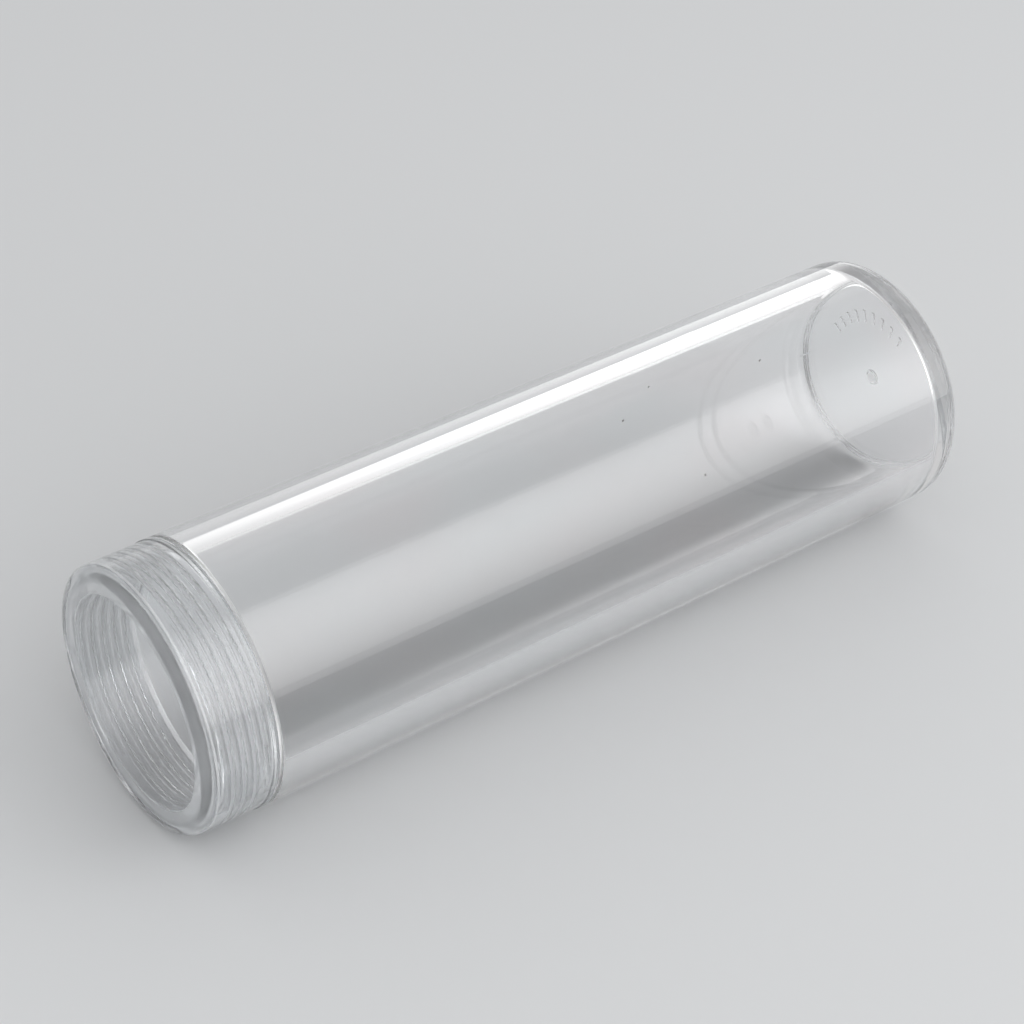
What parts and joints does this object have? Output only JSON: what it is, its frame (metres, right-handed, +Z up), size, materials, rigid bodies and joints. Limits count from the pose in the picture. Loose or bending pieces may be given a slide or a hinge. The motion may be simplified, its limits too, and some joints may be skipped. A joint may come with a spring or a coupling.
{
  "type": "coin tube",
  "caption": "Clear round coin tube, closed at one end, with a threaded neck and a translucent screw cap that is flush with the tube.",
  "frame": {"origin": "middle of the line along which the tube lies on its side", "axes": "+X along the tube, from the screw cap to the closed end; +Z up; +Y across the tube, away from the picture's camera"},
  "size_m": [0.085, 0.025, 0.025],
  "materials": {
    "clear_tube": "crystal-clear moulded polystyrene, polished",
    "cloudy_cap": "natural translucent polypropylene, smooth, slightly milky"
  },
  "bodies": {
    "tube": {"tube": "clear_tube"},
    "cap_lead": {"cap_gate_disc": "cloudy_cap"},
    "cap": {"cap": "cloudy_cap"}
  },
  "joints": [
    {"name": "cap_lift", "type": "slide", "parent": "tube", "child": "cap_lead", "axis": [-1, 0, 0], "range_m": [0, 0.011]},
    {"name": "cap_turn", "type": "hinge", "parent": "cap_lead", "child": "cap", "pos_m": [-0.0414, 0, 0.0125], "axis": [-1, 0, 0], "range_deg": [0, 3600]}
  ],
  "couplings": [
    {"joint": "cap_lift", "follows": "cap_turn", "m_per_rad": 0.00017507}
  ]
}
